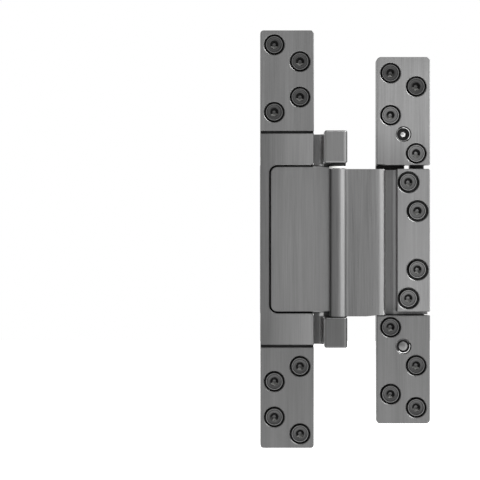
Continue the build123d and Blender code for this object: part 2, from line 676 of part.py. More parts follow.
def build_nodes():
    """Every piece of the hinge, by its node's name."""
    frame_plate = make_frame_plate()
    door_plate = make_door_plate()
    shim = make_shim()
    adjuster = make_adjuster()
    both_frame = frame_fixing_places() + half_turn(frame_fixing_places(), 0)
    both_laps = lap_places() + half_turn(lap_places(), 0)
    both_door = door_fixing_places() + half_turn(door_fixing_places(), DOOR_X)
    both_tongues = door_tongue_places() + half_turn(door_tongue_places(), DOOR_X)
    inside_screw = low_head_screw(BASE_BACK_Y - TIP_INSET)
    spacer_bottom = UPPER_EAR_Z - SEAT_CLEARANCE - SPACER_THICKNESS
    slide_top = spacer_bottom - SEAT_CLEARANCE
    lower_bottom = -LOWER_EAR_Z + SEAT_CLEARANCE
    return {
        "frame_body": make_frame_body(),
        "frame_upper_plate": frame_plate,
        "frame_lower_plate": turned_half_round(frame_plate),
        "frame_upper_shim": shim,
        "frame_lower_shim": turned_half_round(shim),
        "frame_lap_screws": group(at_places(make_lap_screw(), both_laps)),
        "frame_fixing_screws": group(at_places(fixing_screw(), both_frame)),
        "knuckle_leaf": make_knuckle_leaf(),
        "knuckle_clamp_screws": group(at_places(make_clamp_screw(), clamp_places())),
        "hinge_pin": make_pin(),
        "pin_lock_screws": group(at_places(make_lock_screw(), lock_places())),
        "upper_spacer_washer": washer(SPACER_RADIUS, spacer_bottom, spacer_bottom + SPACER_THICKNESS),
        "upper_slide_washer": washer(BARREL_RADIUS, slide_top - SLIDE_WASHER_THICKNESS, slide_top),
        "lower_slide_washer": washer(BARREL_RADIUS, lower_bottom, lower_bottom + LOWER_WASHER_THICKNESS),
        "door_arm": make_arm(),
        "upper_bush": make_bush(BARREL_TOP_Z - BUSH_LENGTH),
        "lower_bush": make_bush(BARREL_BOTTOM_Z),
        "door_clamp_block": lowered(make_block()),
        "door_block_screws": group(at_places(inside_screw, block_places(), DOOR_DROP)),
        "door_base_plate": lowered(make_base_plate()),
        "door_upper_plate": lowered(door_plate),
        "door_lower_plate": lowered(about_door(door_plate)),
        "door_tongue_screws": group(at_places(inside_screw, both_tongues, DOOR_DROP)),
        "door_fixing_screws": group(at_places(fixing_screw(), both_door, DOOR_DROP)),
        "upper_adjuster_screw": lowered(adjuster),
        "lower_adjuster_screw": lowered(about_door(adjuster)),
    }


os.makedirs("parts", exist_ok=True)
for node, shape in build_nodes().items():
    export_step(shape, f"parts/{node}.step")
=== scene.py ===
"""Looks of the concealed door hinge: finishes, fine screws and rings, and the studio round them."""

import logging
import math
from dataclasses import dataclass
from enum import Enum
from typing import Mapping, Sequence

import bmesh
import bpy
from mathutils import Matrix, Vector


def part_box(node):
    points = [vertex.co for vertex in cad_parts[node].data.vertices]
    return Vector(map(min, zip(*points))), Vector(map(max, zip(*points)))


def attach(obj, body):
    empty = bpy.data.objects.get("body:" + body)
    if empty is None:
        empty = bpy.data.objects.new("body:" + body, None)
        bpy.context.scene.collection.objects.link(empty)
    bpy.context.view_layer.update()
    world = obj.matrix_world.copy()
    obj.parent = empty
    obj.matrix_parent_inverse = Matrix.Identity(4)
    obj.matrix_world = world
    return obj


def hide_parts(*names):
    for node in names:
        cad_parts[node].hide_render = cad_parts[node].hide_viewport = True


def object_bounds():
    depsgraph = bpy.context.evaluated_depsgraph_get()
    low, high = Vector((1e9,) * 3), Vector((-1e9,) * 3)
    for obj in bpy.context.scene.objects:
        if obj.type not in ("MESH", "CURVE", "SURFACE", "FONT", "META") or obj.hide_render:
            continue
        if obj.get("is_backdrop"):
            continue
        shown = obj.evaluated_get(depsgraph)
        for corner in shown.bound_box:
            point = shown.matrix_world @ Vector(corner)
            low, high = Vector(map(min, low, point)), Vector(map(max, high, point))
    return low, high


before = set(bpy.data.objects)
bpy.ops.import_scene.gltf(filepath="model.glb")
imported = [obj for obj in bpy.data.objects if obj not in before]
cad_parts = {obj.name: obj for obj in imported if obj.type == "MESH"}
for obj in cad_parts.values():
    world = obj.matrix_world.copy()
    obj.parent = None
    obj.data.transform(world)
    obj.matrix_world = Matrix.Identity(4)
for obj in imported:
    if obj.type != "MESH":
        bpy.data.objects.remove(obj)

Tree = bpy.types.NodeTree
Node = bpy.types.Node
Socket = bpy.types.NodeSocket
Material = bpy.types.Material
Mesh = bpy.types.Mesh
Piece = bpy.types.Object
Triple = tuple[float, float, float]

LOG = logging.getLogger("hinge")
MM = 0.001
SAME_PLACE = 0.01 * MM
SHARP_ANGLE = math.radians(30)
WHITE = (1.0, 1.0, 1.0, 1.0)
# Colour of the painted shade in the gaps, counterbores and hollows of brushed steel.
PAINTED_SHADE_BLACK = "#0b0b0b"
# A Mix node that mixes colours takes them at these inputs and gives the result at this output.
FIRST, SECOND, MIXED = 6, 7, 2
# Corners round a ring, in its rounded edges, in one turn of a coil and round the coil's ridge.
RING_SIDES, EDGE_CORNERS, COIL_STEPS, RIDGE_SIDES = 96, 3, 48, 6


def linear(hex_colour: str) -> tuple[float, float, float, float]:
    """Turn an sRGB hex colour into the linear colour that shaders take.

    Args:
        hex_colour: Colour as "#rrggbb".

    Returns:
        Linear red, green, blue and an alpha of 1.
    """
    values = [int(hex_colour[i:i + 2], 16) / 255 for i in (1, 3, 5)]
    bent = [v / 12.92 if v <= 0.04045 else ((v + 0.055) / 1.055) ** 2.4 for v in values]
    return bent[0], bent[1], bent[2], 1.0


def add_node(tree: Tree, kind: str, inputs: Mapping | None = None, **settings) -> Node:
    """Add one node, set it up and link it.

    Args:
        tree: Tree that gets the node.
        kind: Blender's name of the node type.
        inputs: Values or output sockets by input name or index.
        settings: Properties of the node.

    Returns:
        The new node.
    """
    node = tree.nodes.new(kind)
    for name, value in settings.items():
        setattr(node, name, value)
    for name, value in (inputs or {}).items():
        if isinstance(value, Socket):
            tree.links.new(value, node.inputs[name])
        else:
            node.inputs[name].default_value = value
    return node


def new_material(name: str) -> tuple[Material, Tree, Node]:
    """Start a material with one Principled shader.

    Args:
        name: The material's name.

    Returns:
        The material, its tree and its shader node.
    """
    made = bpy.data.materials.new(name)
    made.use_nodes = True
    return made, made.node_tree, made.node_tree.nodes["Principled BSDF"]


def two_tone(
    tree: Tree, pattern: Socket, light: str, dark: str, low: float = 0.3, high: float = 0.7
) -> Socket:
    """Colour that runs from dark to light with a pattern.

    Args:
        tree: The material's tree.
        pattern: Pattern from 0 to 1.
        light: Lightest colour as "#rrggbb".
        dark: Darkest colour as "#rrggbb".
        low: Value of the pattern up to which the colour is dark.
        high: Value of the pattern from which it is light.

    Returns:
        The colour.
    """
    share = add_node(tree, "ShaderNodeMapRange", {"Value": pattern, "From Min": low, "From Max": high})
    ends = {0: share.outputs[0], FIRST: linear(dark), SECOND: linear(light)}
    return add_node(tree, "ShaderNodeMix", ends, data_type="RGBA").outputs[MIXED]


def drawn_noise(tree: Tree, place: Socket, scale: Triple, detail: float) -> Socket:
    """Noise drawn out by its own scale along each axis, for grain and turning marks.

    Args:
        tree: The material's tree.
        place: Coordinates that the noise follows.
        scale: Grains in one unit of each coordinate.
        detail: Finer layers of noise on top.

    Returns:
        The pattern, from 0 to 1.
    """
    drawn = add_node(tree, "ShaderNodeMapping", {"Vector": place, "Scale": scale})
    noise = {"Vector": drawn.outputs[0], "Scale": 1.0, "Detail": detail}
    return add_node(tree, "ShaderNodeTexNoise", noise).outputs["Fac"]


@dataclass(frozen=True)
class PaintedTones:
    """Painted light and shade along X or Z: a change of tone that stands in for highlights and shade on a
    piece.

    Its stops are places in millimetres with shares of the full tone. It holds between two heights.
    """

    axis: str
    stops: tuple[tuple[float, float], ...]
    heights: tuple[float, float] = (-1000.0, 1000.0)

    def add(self, tree: Tree, place: Socket, colour: Socket) -> Socket:
        """Add the change to a colour.

        Args:
            tree: The material's tree.
            place: Object coordinates.
            colour: Colour at the full tone.

        Returns:
            The changed colour.
        """
        low, high = self.stops[0][0], self.stops[-1][0]
        peak = max(share for _, share in self.stops)
        split = add_node(tree, "ShaderNodeSeparateXYZ", {"Vector": place})
        reach = {"Value": split.outputs[self.axis], "From Min": low * MM, "From Max": high * MM}
        along = add_node(tree, "ShaderNodeMapRange", reach)
        ramp = add_node(tree, "ShaderNodeValToRGB", {"Fac": along.outputs[0]})
        stops = ramp.color_ramp.elements
        for millimetres, _ in self.stops[1:-1]:
            stops.new((millimetres - low) / (high - low))
        for stop, (_, share) in zip(stops, self.stops):
            stop.color = (share / peak, share / peak, share / peak, 1.0)
        toned = add_node(tree, "ShaderNodeVectorMath", {0: colour, 1: ramp.outputs[0]}, operation="MULTIPLY")
        full = add_node(tree, "ShaderNodeVectorMath", {0: toned.outputs[0], "Scale": peak}, operation="SCALE")
        bottom, top = self.heights
        within = {0: split.outputs["Z"], 1: (bottom + top) / 2 * MM, 2: (top - bottom) / 2 * MM}
        inside = add_node(tree, "ShaderNodeMath", within, operation="COMPARE")
        ends = {0: inside.outputs[0], FIRST: colour, SECOND: full.outputs[0]}
        return add_node(tree, "ShaderNodeMix", ends, data_type="RGBA").outputs[MIXED]


@dataclass(frozen=True)
class Finish:
    """What every finish has: a name, two tones, a gloss, and a pattern that the gloss and the relief follow.

    Roughness follows the pattern, by the uneven amount to either side.
    """

    name: str
    light: str
    dark: str
    roughness: float = 0.42
    uneven: float = 0.06
    metallic: float = 1.0
    shine: float = 0.5
    relief: float = 0.35
    bump_mm: float = 0.012

    def surface(self, tree: Tree) -> tuple[Socket, Socket]:
        """Pattern and colour, which each kind of finish makes in its own way."""
        raise NotImplementedError

    def material(self) -> Material:
        """Build the material.

        Returns:
            The material.
        """
        made, tree, shader = new_material(self.name)
        pattern, colour = self.surface(tree)
        shader.inputs["Metallic"].default_value = self.metallic
        shader.inputs["Specular IOR Level"].default_value = self.shine
        tree.links.new(colour, shader.inputs["Base Color"])
        if self.uneven:
            low, high = self.roughness - self.uneven, self.roughness + self.uneven
            rough = add_node(tree, "ShaderNodeMapRange", {"Value": pattern, "To Min": low, "To Max": high})
            tree.links.new(rough.outputs[0], shader.inputs["Roughness"])
        else:
            shader.inputs["Roughness"].default_value = self.roughness
        cut = {"Height": pattern, "Strength": self.relief, "Distance": self.bump_mm * MM}
        tree.links.new(add_node(tree, "ShaderNodeBump", cut).outputs[0], shader.inputs["Normal"])
        return made


@dataclass(frozen=True)
class BrushedSteel(Finish):
    """Satin stainless steel, brushed upright with a belt: dull streaks and soft, wide bands of tone.

    Painted shade keeps tight gaps, counterbores and hollows dark. Openness is the share of free space within
    the crevice
    size: at the shut share a surface is painted black, from the open share on it is unshaded.
    """

    tones: tuple[PaintedTones, ...] = ()
    crevice_mm: float = 8.0
    crevice_shut: float = 0.08
    crevice_open: float = 0.45
    streak_width_mm: float = 0.45
    streak_length_mm: float = 24.0
    band_width_mm: float = 6.0
    band_length_mm: float = 200.0
    band_share: float = 0.45
    streak_detail: float = 3.0
    band_detail: float = 1.0
    crevice_samples: int = 8

    def surface(self, tree: Tree) -> tuple[Socket, Socket]:
        """Streaks and colour on Object coordinates, so that every piece shares one grain.

        Args:
            tree: The material's tree.

        Returns:
            The streaks and the colour.
        """
        place = add_node(tree, "ShaderNodeTexCoord").outputs["Object"]
        # A real belt leaves 0.05 mm scratches. They are drawn nine times as wide, to show at half a
        # millimetre a pixel.
        across, along = 1 / (self.streak_width_mm * MM), 1 / (self.streak_length_mm * MM)
        streaks = drawn_noise(tree, place, (across, across, along), self.streak_detail)
        across, along = 1 / (self.band_width_mm * MM), 1 / (self.band_length_mm * MM)
        bands = drawn_noise(tree, place, (across, across, along), self.band_detail)
        both = add_node(tree, "ShaderNodeMix", {0: self.band_share, 2: streaks, 3: bands}, data_type="FLOAT")
        colour = two_tone(tree, both.outputs[0], self.light, self.dark)
        # Painted light and shade along the piece.
        for change in self.tones:
            colour = change.add(tree, place, colour)
        # Painted shade: surfaces with little free space round them, in gaps, counterbores and between parts,
        # are darkened towards black.
        reach = {"Distance": self.crevice_mm * MM}
        hollow = add_node(tree, "ShaderNodeAmbientOcclusion", reach, samples=self.crevice_samples)
        limits = {"Value": hollow.outputs["AO"], "From Min": self.crevice_shut, "From Max": self.crevice_open}
        unshaded = add_node(tree, "ShaderNodeMapRange", limits)
        ends = {0: unshaded.outputs[0], FIRST: linear(PAINTED_SHADE_BLACK), SECOND: colour}
        return streaks, add_node(tree, "ShaderNodeMix", ends, data_type="RGBA").outputs[MIXED]


@dataclass(frozen=True)
class TurnedSteel(Finish):
    """Screw steel turned on a lathe: fine rings round the axis, read from the piece's own UV map.

    From a length down the turned profile on, the raised rim is rubbed to its own worn tone.
    """

    roughness: float = 0.32
    uneven: float = 0.0
    relief: float = 0.4
    bump_mm: float = 0.01
    worn: str = "#8a8a8a"
    worn_from_mm: float = 0.0
    tones: tuple[PaintedTones, ...] = ()
    ring_pitch_mm: float = 0.35
    marks_round: float = 2.0
    ring_detail: float = 2.0

    def surface(self, tree: Tree) -> tuple[Socket, Socket]:
        """Rings and colour along V, which runs down the turned profile in millimetres.

        Args:
            tree: The material's tree.

        Returns:
            The rings and the colour.
        """
        chart = add_node(tree, "ShaderNodeUVMap", uv_map="UVMap").outputs["UV"]
        # Feed marks are about 0.1 mm apart. They are drawn wider, so that they show at all.
        rings = drawn_noise(tree, chart, (self.marks_round, 1 / self.ring_pitch_mm, 1.0), self.ring_detail)
        colour = two_tone(tree, rings, self.light, self.dark)
        down = add_node(tree, "ShaderNodeSeparateXYZ", {"Vector": chart}).outputs["Y"]
        rubbed = add_node(tree, "ShaderNodeMath", {0: down, 1: self.worn_from_mm}, operation="GREATER_THAN")
        ends = {0: rubbed.outputs[0], FIRST: colour, SECOND: linear(self.worn)}
        colour = add_node(tree, "ShaderNodeMix", ends, data_type="RGBA").outputs[MIXED]
        # Painted light and shade along the piece.
        for change in self.tones:
            colour = change.add(tree, add_node(tree, "ShaderNodeTexCoord").outputs["Object"], colour)
        return rings, colour


@dataclass(frozen=True)
class Speckled(Finish):
    """Moulded plastic, black oxide, phosphate or sintered bronze: an even colour with a fine speckle.

    With a painted light colour, the surface is painted lighter where it looks up, as if lit from above, from
    one upward share to another.
    """

    uneven: float = 0.08
    metallic: float = 0.0
    relief: float = 0.3
    bump_mm: float = 0.006
    painted_top_light: str | None = None
    painted_top_light_from: float = 0.35
    painted_top_light_full: float = 1.05
    speckle_mm: float = 0.4
    speckle_detail: float = 3.0

    def surface(self, tree: Tree) -> tuple[Socket, Socket]:
        """Speckle and colour on Object coordinates, the same size on every side.

        Args:
            tree: The material's tree.

        Returns:
            The speckle and the colour.
        """
        place = add_node(tree, "ShaderNodeTexCoord").outputs
        noise = {"Scale": 1 / (self.speckle_mm * MM), "Detail": self.speckle_detail}
        grit = add_node(tree, "ShaderNodeTexNoise", {"Vector": place["Object"], **noise}).outputs["Fac"]
        colour = two_tone(tree, grit, self.light, self.dark, 0.0, 1.0)
        # Painted light: walls that look up are painted lighter, as if lit from above.
        if self.painted_top_light:
            upward = add_node(tree, "ShaderNodeSeparateXYZ", {"Vector": place["Normal"]}).outputs["Z"]
            limits = {"Value": upward, "From Min": self.painted_top_light_from, "From Max": self.painted_top_light_full}
            lying = add_node(tree, "ShaderNodeMapRange", limits)
            ends = {0: lying.outputs[0], FIRST: colour, SECOND: linear(self.painted_top_light)}
            colour = add_node(tree, "ShaderNodeMix", ends, data_type="RGBA").outputs[MIXED]
        return grit, colour


class Section(Enum):
    """Cross-section of a ring of a turned piece."""

    ROUND = "round"
    HEXAGON = "hexagon"


class Coat(Enum):
    """Surface of a band of a turned piece: its own finish, black oxide, or the dull phosphate of a socket;
    the oxide and phosphate also stand in for shade.
    """

    FINISH = "finish"
    OXIDE_AND_PAINTED_SHADOW = "oxide"
    SOCKET = "socket"


@dataclass(frozen=True)
class Ring:
    """One ring of a turned piece: radius and place on the axis in millimetres, and the coat up to it."""

    radius: float
    along: float
    section: Section = Section.ROUND
    thread_depth: float = 0.0
    coat: Coat = Coat.FINISH

    def step(self, before: "Ring") -> float:
        """Length of the profile from the ring before to this one."""
        return math.hypot(self.radius - before.radius, self.along - before.along)

    def reach(self, turn: float, pitch: float) -> float:
        """Distance from the axis to the surface at one angle.

        Args:
            turn: Angle round the axis, in radians.
            pitch: Thread pitch in millimetres.

        Returns:
            The distance in millimetres.
        """
        if self.section is Section.HEXAGON:
            side = math.tau / 6
            return self.radius / math.cos((turn % side) - side / 2)
        wave = (self.along / pitch - turn / math.tau) % 1.0
        return self.radius - self.thread_depth * abs(2 * wave - 1)


def shade(mesh: Mesh) -> None:
    """Shade a mesh smooth, with its sharp edges kept."""
    mesh.shade_smooth()
    mesh.set_sharp_from_angle(angle=SHARP_ANGLE)


def turned_mesh(name: str, rings: Sequence[Ring], sides: int = 48, pitch: float = 1.0) -> Mesh:
    """Close a row of rings about the Y axis into one mesh with a pole at each end.

    Args:
        name: The mesh's name.
        rings: Rings in the order of the profile.
        sides: Corners of each ring, a multiple of six.
        pitch: Thread pitch in millimetres.

    Returns:
        The closed mesh, its UV map running round the axis and down the profile.
    """
    corners: list[Triple] = [(0.0, rings[0].along * MM, 0.0)]
    lengths = [0.0]
    for before, ring in zip([rings[0], *rings], rings):
        lengths.append(lengths[-1] + ring.step(before))
        for side in range(sides):
            turn = math.tau * side / sides
            reach = ring.reach(turn, pitch) * MM
            corners.append((reach * math.cos(turn), ring.along * MM, reach * math.sin(turn)))
    corners.append((0.0, rings[-1].along * MM, 0.0))
    pole, end = len(corners) - 1, len(rings) - 1

    def corner(row: int, side: int) -> int:
        """Index of one corner of one ring."""
        return 1 + row * sides + side % sides

    faces: list[tuple[int, ...]] = []
    marks: list[tuple[float, float]] = []
    for side in range(sides):
        left, right, after = side / sides, (side + 1) / sides, side + 1
        faces.append((0, corner(0, side), corner(0, after)))
        marks += [(left, 0.0), (left, lengths[1]), (right, lengths[1])]
        for row, (top, bottom) in enumerate(zip(lengths[1:], lengths[2:])):
            below = row + 1
            faces.append((corner(row, side), corner(below, side), corner(below, after), corner(row, after)))
            marks += [(left, top), (left, bottom), (right, bottom), (right, top)]
        faces.append((pole, corner(end, after), corner(end, side)))
        marks += [(left, lengths[-1]), (right, lengths[-1]), (left, lengths[-1])]
    made = bpy.data.meshes.new(name)
    made.from_pydata(corners, [], faces)
    chart = made.uv_layers.new(name="UVMap")
    chart.data.foreach_set("uv", [value for mark in marks for value in mark])
    shape = bmesh.new()
    shape.from_mesh(made)
    bmesh.ops.recalc_face_normals(shape, faces=shape.faces)
    shape.to_mesh(made)
    shape.free()
    for coat in (Coat.OXIDE_AND_PAINTED_SHADOW, Coat.SOCKET):
        covered = made.attributes.new(coat.value, "BOOLEAN", "FACE")
        covered.data.foreach_set("value", [ring.coat is coat for ring in (*rings, rings[-1])] * sides)
    shade(made)
    return made


def socket_name(tree: Tree, name: str) -> str:
    """Identifier of a tree's named input."""
    return next(i.identifier for i in tree.interface.items_tree if i.name == name and i.in_out == "INPUT")


def grown(name: str, seed_mesh: Mesh, tree: Tree, values: Mapping) -> Piece:
    """Run a Geometry Nodes tree on a mesh and keep its result as a plain mesh.

    Args:
        name: Name of the finished piece.
        seed_mesh: Mesh that the tree starts from.
        tree: The tree.
        values: Inputs by their names.

    Returns:
        The finished piece, without a modifier.
    """
    host = bpy.data.objects.new(name, seed_mesh)
    bpy.context.scene.collection.objects.link(host)
    modifier = host.modifiers.new("grown", "NODES")
    modifier.node_group = tree
    for label, value in values.items():
        modifier[socket_name(tree, label)] = value
    graph = bpy.context.evaluated_depsgraph_get()
    result = bpy.data.meshes.new_from_object(host.evaluated_get(graph), depsgraph=graph)
    host.modifiers.remove(modifier)
    host.data = result
    bpy.data.meshes.remove(seed_mesh)
    return host


def new_tree(name: str, inputs: Mapping[str, str]) -> tuple[Tree, Mapping[str, Socket]]:
    """Start a Geometry Nodes tree.

    Args:
        name: The tree's name.
        inputs: Kind of each input after the geometry, by the input's name.

    Returns:
        The tree, and what its inputs give.
    """
    tree = bpy.data.node_groups.new(name, "GeometryNodeTree")
    for label, kind in {"Geometry": "Geometry", **inputs}.items():
        tree.interface.new_socket(name=label, in_out="INPUT", socket_type="NodeSocket" + kind)
    tree.interface.new_socket(name="Geometry", in_out="OUTPUT", socket_type="NodeSocketGeometry")
    return tree, add_node(tree, "NodeGroupInput").outputs


def close_tree(
    tree: Tree, placed: Mapping[str, Socket], material: Socket, coats: Mapping[Coat, Socket] | None = None
) -> None:
    """End a tree: put what it made at each point, realise that and give it its material.

    Args:
        tree: The tree.
        placed: The points, what stands on them and how it is turned.
        material: The tree's material input.
        coats: Material inputs for the faces marked with a coat.
    """
    row = add_node(tree, "GeometryNodeInstanceOnPoints", placed)
    real = add_node(tree, "GeometryNodeRealizeInstances", {"Geometry": row.outputs[0]})
    dressed = add_node(tree, "GeometryNodeSetMaterial", {"Geometry": real.outputs[0], "Material": material})
    for coat, coating in (coats or {}).items():
        marked = add_node(tree, "GeometryNodeInputNamedAttribute", {"Name": coat.value}, data_type="BOOLEAN")
        part = {"Geometry": dressed.outputs[0], "Selection": marked.outputs["Attribute"], "Material": coating}
        dressed = add_node(tree, "GeometryNodeSetMaterial", part)
    add_node(tree, "NodeGroupOutput", {"Geometry": dressed.outputs[0]})


def screw_row_tree() -> Tree:
    """Tree that puts one screw at each point and turns each to its own angle.

    Returns:
        The tree, with inputs for the screw, the seed of the angles, the finish and both coats.
    """
    materials = dict.fromkeys(("Finish", "Oxide_And_Painted_Shadow", "Socket"), "Material")
    tree, given = new_tree("screw_row", {"Screw": "Object", "Turn Seed": "Int", **materials})
    screw = add_node(tree, "GeometryNodeObjectInfo", {"Object": given["Screw"]})
    angles = {0: (0.0, 0.0, 0.0), 1: (0.0, math.tau, 0.0), "Seed": given["Turn Seed"]}
    turn = add_node(tree, "FunctionNodeRandomValue", angles, data_type="FLOAT_VECTOR")
    each = {"Points": given["Geometry"], "Instance": screw.outputs["Geometry"], "Rotation": turn.outputs[0]}
    close_tree(tree, each, given["Finish"], {Coat.OXIDE_AND_PAINTED_SHADOW: given["Oxide_And_Painted_Shadow"], Coat.SOCKET: given["Socket"]})
    return tree


def ring_tree() -> Tree:
    """Tree that sweeps a rounded rectangle round the pin's axis, for washers and bushes.

    Returns:
        The tree, with inputs for the ring's middle radius, wall, height, edge round and finish.
    """
    sizes = dict.fromkeys(("Middle Radius", "Wall", "Height", "Edge Round"), "Float")
    tree, given = new_tree("turned_ring", {**sizes, "Finish": "Material"})
    around = {"Resolution": RING_SIDES, "Radius": given["Middle Radius"]}
    circle = add_node(tree, "GeometryNodeCurvePrimitiveCircle", around)
    wall = {"Width": given["Wall"], "Height": given["Height"]}
    section = add_node(tree, "GeometryNodeCurvePrimitiveQuadrilateral", wall)
    edges = {"Curve": section.outputs[0], "Radius": given["Edge Round"], "Count": EDGE_CORNERS}
    rounded = add_node(tree, "GeometryNodeFilletCurve", edges, mode="POLY")
    sweep = {"Curve": circle.outputs[0], "Profile Curve": rounded.outputs[0]}
    swept = add_node(tree, "GeometryNodeCurveToMesh", sweep)
    close_tree(tree, {"Points": given["Geometry"], "Instance": swept.outputs[0]}, given["Finish"])
    return tree


def coil_tree() -> Tree:
    """Tree that winds a stretch of a tapped thread inside a hole's mouth.

    Returns:
        The tree, with inputs for the stretch's radius, turns, height, ridge, start and finish.
    """
    sizes = dict.fromkeys(("Radius", "Turns", "Height", "Ridge", "Start"), "Float")
    tree, given = new_tree("thread_coil", {**sizes, "Finish": "Material"})
    radius = given["Radius"]
    path = {"Start Radius": radius, "End Radius": radius, "Height": given["Height"]}
    wound = {"Resolution": COIL_STEPS, "Rotations": given["Turns"], **path}
    spiral = add_node(tree, "GeometryNodeCurveSpiral", wound)
    around = {"Resolution": RIDGE_SIDES, "Radius": given["Ridge"]}
    ridge = add_node(tree, "GeometryNodeCurvePrimitiveCircle", around)
    sweep = {"Curve": spiral.outputs[0], "Profile Curve": ridge.outputs[0], "Fill Caps": True}
    swept = add_node(tree, "GeometryNodeCurveToMesh", sweep)
    turn = add_node(tree, "ShaderNodeCombineXYZ", {"X": -math.pi / 2, "Y": given["Start"]})
    flat = {"Geometry": swept.outputs[0], "Rotation": turn.outputs[0]}
    lying = add_node(tree, "GeometryNodeTransform", flat)
    close_tree(tree, {"Points": given["Geometry"], "Instance": lying.outputs[0]}, given["Finish"])
    return tree


def points_mesh(name: str, points: Sequence[Vector]) -> Mesh:
    """Loose points for a tree to start from.

    Args:
        name: The mesh's name.
        points: The points, in metres.

    Returns:
        The mesh.
    """
    made = bpy.data.meshes.new(name)
    made.from_pydata([tuple(point) for point in points], [], [])
    return made


@dataclass(frozen=True)
class LowHeadScrew:
    """Low-head hex socket screw, in millimetres, its head's front at zero along the axis.

    The edge turn is how far a rounded edge has come inwards and back at its middle, as a share of its radius.
    """

    head_radius: float = 5.0
    head_height: float = 4.0
    rim_width: float = 0.75
    dish_depth: float = 0.12
    groove_width: float = 0.35
    edge_round: float = 0.42
    edge_turn: float = 0.3
    foot_chamfer: float = 0.15
    socket_depth: float = 2.2
    floor_point: float = 0.2
    floor_radius: float = 0.9
    floor_rise: float = 0.12
    mouth_radius: float = 2.1
    mouth_depth: float = 0.3
    mouth_chamfer: float = 0.25
    shank_radius: float = 3.0
    plain_shank: float = 5.0
    tip_chamfer: float = 0.4
    thread_depth: float = 0.5
    pitch: float = 1.0
    rings_per_pitch: int = 4

    def head(self) -> list[Ring]:
        """Rings from the socket's bottom out over the head and back to the shank.

        Returns:
            The rings in profile order.
        """
        dish, outer = self.dish_depth, self.head_radius
        inner, turn = outer - self.rim_width, self.edge_turn * self.edge_round
        # The oxide bands are black oxide and also painted shadow in the gap round the head; the phosphate
        # socket also stands in for the socket's shade.
        return [
            Ring(self.floor_point, self.socket_depth),
            Ring(self.floor_radius, self.socket_depth - self.floor_rise, Section.HEXAGON),
            Ring(self.mouth_radius, dish + self.mouth_depth, Section.HEXAGON, coat=Coat.SOCKET),
            Ring(self.mouth_radius + self.mouth_chamfer, dish, coat=Coat.OXIDE_AND_PAINTED_SHADOW),
            Ring(inner - self.groove_width, dish),
            Ring(inner, 0.0, coat=Coat.OXIDE_AND_PAINTED_SHADOW),
            Ring(outer - self.edge_round, 0.0),
            Ring(outer - turn, turn, coat=Coat.OXIDE_AND_PAINTED_SHADOW),
            Ring(outer, self.edge_round, coat=Coat.OXIDE_AND_PAINTED_SHADOW),
            Ring(outer, self.head_height - self.foot_chamfer, coat=Coat.OXIDE_AND_PAINTED_SHADOW),
            Ring(outer - self.foot_chamfer, self.head_height, coat=Coat.OXIDE_AND_PAINTED_SHADOW),
        ]

    def rim_start(self) -> float:
        """Length down the profile at which the head's raised rim begins.

        Returns:
            The length in millimetres.
        """
        rings = self.head()
        inner_edge = next(index for index, ring in enumerate(rings) if ring.along == 0.0)
        return sum(ring.step(before) for before, ring in zip(rings[:inner_edge], rings[1:]))

    def rings(self, length: float) -> list[Ring]:
        """All rings of a screw.

        Args:
            length: Length with the head, in millimetres.

        Returns:
            The rings in profile order.
        """
        start, radius, shank = self.head_height, self.shank_radius, length - self.head_height
        threaded = start + self.plain_shank
        made = self.head() + [Ring(radius, start), Ring(radius, threaded)]
        step = self.pitch / self.rings_per_pitch
        for index in range(1, int((shank - self.plain_shank - self.pitch) / step) + 1):
            depth = min(1.0, index / self.rings_per_pitch) * self.thread_depth
            made.append(Ring(radius, threaded + index * step, thread_depth=depth))
        tip, end = radius - self.thread_depth, start + shank
        return made + [Ring(tip, end - self.tip_chamfer), Ring(tip - self.tip_chamfer, end)]


class Front(Enum):
    """Front end of a grub screw: a hex socket, or the plain cone-edged plug of its other end."""

    SOCKET = "socket"
    PLUG = "plug"


